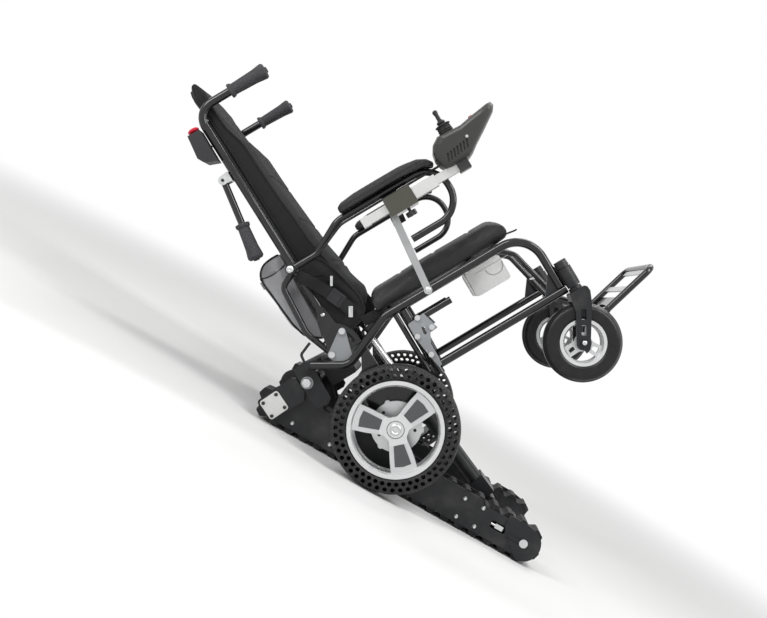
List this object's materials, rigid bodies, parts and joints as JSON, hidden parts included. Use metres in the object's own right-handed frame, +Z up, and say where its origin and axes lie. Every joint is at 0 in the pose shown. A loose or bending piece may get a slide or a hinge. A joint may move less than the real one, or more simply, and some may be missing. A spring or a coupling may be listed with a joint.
{
  "type": "stair climbing wheelchair",
  "caption": "Powered wheelchair with rubber cleated tracks under a tilting chair, joystick armrest, reclining back, spoked driving wheels, casters and a folding footrest.",
  "frame": {"origin": "middle of the footprint box, on the ground plane that the two cleated tracks stand on", "axes": "+X forward along the tracks, toward their raised front ends and the footrest, +Y to the sitter's left, +Z up"},
  "size_m": [1.3572, 0.624, 0.9708],
  "materials": {
    "black_paint": "gloss",
    "dark_paint": "satin",
    "black_steel": "satin",
    "grey_plate": "satin",
    "cast_silver": "satin",
    "bare_aluminium": "satin",
    "zinc": "satin",
    "chromed_rod": "polished",
    "track_rubber": "matte",
    "tyre_rubber": "matte",
    "grip_rubber": "matte",
    "slide_plastic": "satin",
    "black_plastic": "satin",
    "case_plastic": "matte",
    "pale_case": "satin",
    "pale_rail": "satin",
    "red_plastic": "gloss",
    "seat_vinyl": "satin",
    "back_cloth": "matte",
    "bag_cloth": "matte",
    "belt_webbing": "matte"
  },
  "bodies": {
    "chair": {"seat_rails": "black_paint", "base_tubes": "black_paint", "rear_posts": "black_paint", "rear_cross_frame": "black_steel", "frame_plates": "grey_plate", "seat_cross_tubes": "black_paint", "seat_cushion": "seat_vinyl", "caster_housings": "black_steel", "battery_packs": "pale_case", "drive_motors": "cast_silver", "frame_bolts": "zinc", "control_box": "black_plastic", "footrest_hanger": "black_paint"},
    "track_unit": {"track_chassis": "dark_paint", "track_side_plates": "dark_paint", "track_belts": "track_rubber", "slide_rails": "slide_plastic", "track_gearcases": "dark_paint", "gearcase_covers": "bare_aluminium", "track_motor": "black_steel", "track_fasteners": "zinc"},
    "drive_axle": {"drive_rollers": "cast_silver"},
    "idler_axle": {"idler_rollers": "cast_silver"},
    "actuator_body": {"actuator_case": "dark_paint"},
    "actuator_ram": {"actuator_rod": "chromed_rod"},
    "rear_wheel_left": {"rear_rim_left": "cast_silver", "rear_tyre_left": "tyre_rubber"},
    "rear_wheel_right": {"rear_rim_right": "cast_silver", "rear_tyre_right": "tyre_rubber"},
    "caster_left": {"caster_fork_left": "dark_paint"},
    "caster_right": {"caster_fork_right": "dark_paint"},
    "caster_wheel_left": {"caster_rim_left": "cast_silver", "caster_tyre_left": "tyre_rubber"},
    "caster_wheel_right": {"caster_rim_right": "cast_silver", "caster_tyre_right": "tyre_rubber"},
    "backrest": {"back_frame": "black_paint", "back_cushion": "back_cloth", "back_bag": "bag_cloth", "lap_belt": "belt_webbing", "push_grips": "grip_rubber", "attendant_box": "black_plastic", "handle_bracket": "zinc"},
    "stop_knob": {"stop_button": "red_plastic"},
    "attendant_handle": {"rear_handle": "black_paint", "rear_handle_grip": "grip_rubber"},
    "armrest_left": {"arm_tube_left": "black_paint", "arm_pad_left": "seat_vinyl"},
    "armrest_right": {"arm_tube_right": "black_paint", "arm_pad_right": "seat_vinyl", "controller_cable": "track_rubber"},
    "post_left": {"arm_post_left": "zinc"},
    "post_right": {"arm_post_right": "zinc"},
    "controller": {"controller_rail": "pale_rail", "controller_case": "case_plastic"},
    "stick_ring": {"joystick_gimbal": "black_plastic"},
    "stick": {"joystick": "black_plastic"},
    "horn": {"horn_button": "red_plastic"},
    "clamp_knob": {"star_knob": "black_plastic"},
    "footrest": {"footrest_frame": "black_paint", "footrest_bars": "zinc"}
  },
  "joints": [
    {"name": "track_deploy", "type": "hinge", "parent": "chair", "child": "track_unit", "pos_m": [-0.05279, 0, 0.142], "axis": [0, -1, 0], "range_deg": [0, 60]},
    {"name": "drive_spin", "type": "hinge", "parent": "track_unit", "child": "drive_axle", "pos_m": [-0.09879, 0, 0.051], "axis": [0, 1, 0], "continuous": true},
    {"name": "idler_spin", "type": "hinge", "parent": "track_unit", "child": "idler_axle", "pos_m": [0.62746, 0, 0.051], "axis": [0, 1, 0], "continuous": true},
    {"name": "actuator_tilt", "type": "hinge", "parent": "track_unit", "child": "actuator_body", "pos_m": [0.52721, -0.022, 0.08], "axis": [0, -1, 0], "range_deg": [0, 10.85]},
    {"name": "actuator_stroke", "type": "slide", "parent": "actuator_body", "child": "actuator_ram", "axis": [0.9112, 0, -0.412], "range_m": [0, 0.15882]},
    {"name": "rear_wheel_left_spin", "type": "hinge", "parent": "chair", "child": "rear_wheel_left", "pos_m": [0.19661, 0.284, 0.16198], "axis": [0, 1, 0], "continuous": true},
    {"name": "caster_left_swivel", "type": "hinge", "parent": "chair", "child": "caster_left", "pos_m": [0.3978, 0.228, 0.69245], "axis": [-0.866, 0, 0.5], "range_deg": [-190, 95]},
    {"name": "caster_wheel_left_spin", "type": "hinge", "parent": "caster_left", "child": "caster_wheel_left", "pos_m": [0.5007, 0.228, 0.57068], "axis": [0, 1, 0], "continuous": true},
    {"name": "rear_wheel_right_spin", "type": "hinge", "parent": "chair", "child": "rear_wheel_right", "pos_m": [0.19661, -0.284, 0.16198], "axis": [0, 1, 0], "continuous": true},
    {"name": "caster_right_swivel", "type": "hinge", "parent": "chair", "child": "caster_right", "pos_m": [0.3978, -0.228, 0.69245], "axis": [-0.866, 0, 0.5], "range_deg": [-95, 190]},
    {"name": "caster_wheel_right_spin", "type": "hinge", "parent": "caster_right", "child": "caster_wheel_right", "pos_m": [0.5007, -0.228, 0.57068], "axis": [0, 1, 0], "continuous": true},
    {"name": "recline", "type": "hinge", "parent": "chair", "child": "backrest", "pos_m": [-0.03191, 0, 0.23617], "axis": [0, -1, 0], "range_deg": [0, 30]},
    {"name": "armrest_left_level", "type": "hinge", "parent": "backrest", "child": "armrest_left", "pos_m": [-0.22119, 0.256, 0.37433], "axis": [0, 1, 0], "range_deg": [0, 30]},
    {"name": "post_left_lean", "type": "hinge", "parent": "chair", "child": "post_left", "pos_m": [0.09974, 0.241, 0.49619], "axis": [0, -1, 0], "range_deg": [0, 30]},
    {"name": "armrest_right_level", "type": "hinge", "parent": "backrest", "child": "armrest_right", "pos_m": [-0.22119, -0.256, 0.37433], "axis": [0, 1, 0], "range_deg": [0, 30]},
    {"name": "post_right_lean", "type": "hinge", "parent": "chair", "child": "post_right", "pos_m": [0.09974, -0.241, 0.49619], "axis": [0, -1, 0], "range_deg": [0, 30]},
    {"name": "stop_press", "type": "slide", "parent": "backrest", "child": "stop_knob", "axis": [0.866, 0, -0.5], "range_m": [0, 0.004], "stiffness_N_per_m": 600},
    {"name": "attendant_handle_swing", "type": "hinge", "parent": "backrest", "child": "attendant_handle", "pos_m": [-0.48651, -0.204, 0.48478], "axis": [0, 1, 0], "range_deg": [0, 100]},
    {"name": "controller_slide", "type": "slide", "parent": "armrest_right", "child": "controller", "axis": [0.5, 0, 0.866], "range_m": [0, 0.05]},
    {"name": "stick_pitch", "type": "hinge", "parent": "controller", "child": "stick_ring", "pos_m": [-0.04331, -0.268, 0.85244], "axis": [0, 1, 0], "range_deg": [-20, 20], "stiffness_Nm_per_rad": 0.5},
    {"name": "stick_roll", "type": "hinge", "parent": "stick_ring", "child": "stick", "pos_m": [-0.04331, -0.268, 0.85244], "axis": [0.5, 0, 0.866], "range_deg": [-20, 20], "stiffness_Nm_per_rad": 0.5},
    {"name": "horn_press", "type": "slide", "parent": "controller", "child": "horn", "axis": [0.866, 0, -0.5], "range_m": [0, 0.0015], "stiffness_N_per_m": 250},
    {"name": "clamp_knob_turn", "type": "hinge", "parent": "armrest_right", "child": "clamp_knob", "pos_m": [-0.03907, -0.2805, 0.64677], "axis": [-0.866, 0, 0.5], "range_deg": [-180, 180]},
    {"name": "footrest_flip", "type": "hinge", "parent": "chair", "child": "footrest", "pos_m": [0.53045, 0, 0.67822], "axis": [0, -1, 0], "range_deg": [0, 78]}
  ],
  "couplings": [
    {"joint": "idler_spin", "follows": "drive_spin", "ratio": 1},
    {"joint": "actuator_tilt", "follows": "track_deploy", "ratio": 0.1806},
    {"joint": "actuator_stroke", "follows": "track_deploy", "m_per_rad": 0.15157},
    {"joint": "armrest_left_level", "follows": "recline", "ratio": 1},
    {"joint": "post_left_lean", "follows": "recline", "ratio": 1},
    {"joint": "armrest_right_level", "follows": "recline", "ratio": 1},
    {"joint": "post_right_lean", "follows": "recline", "ratio": 1}
  ]
}
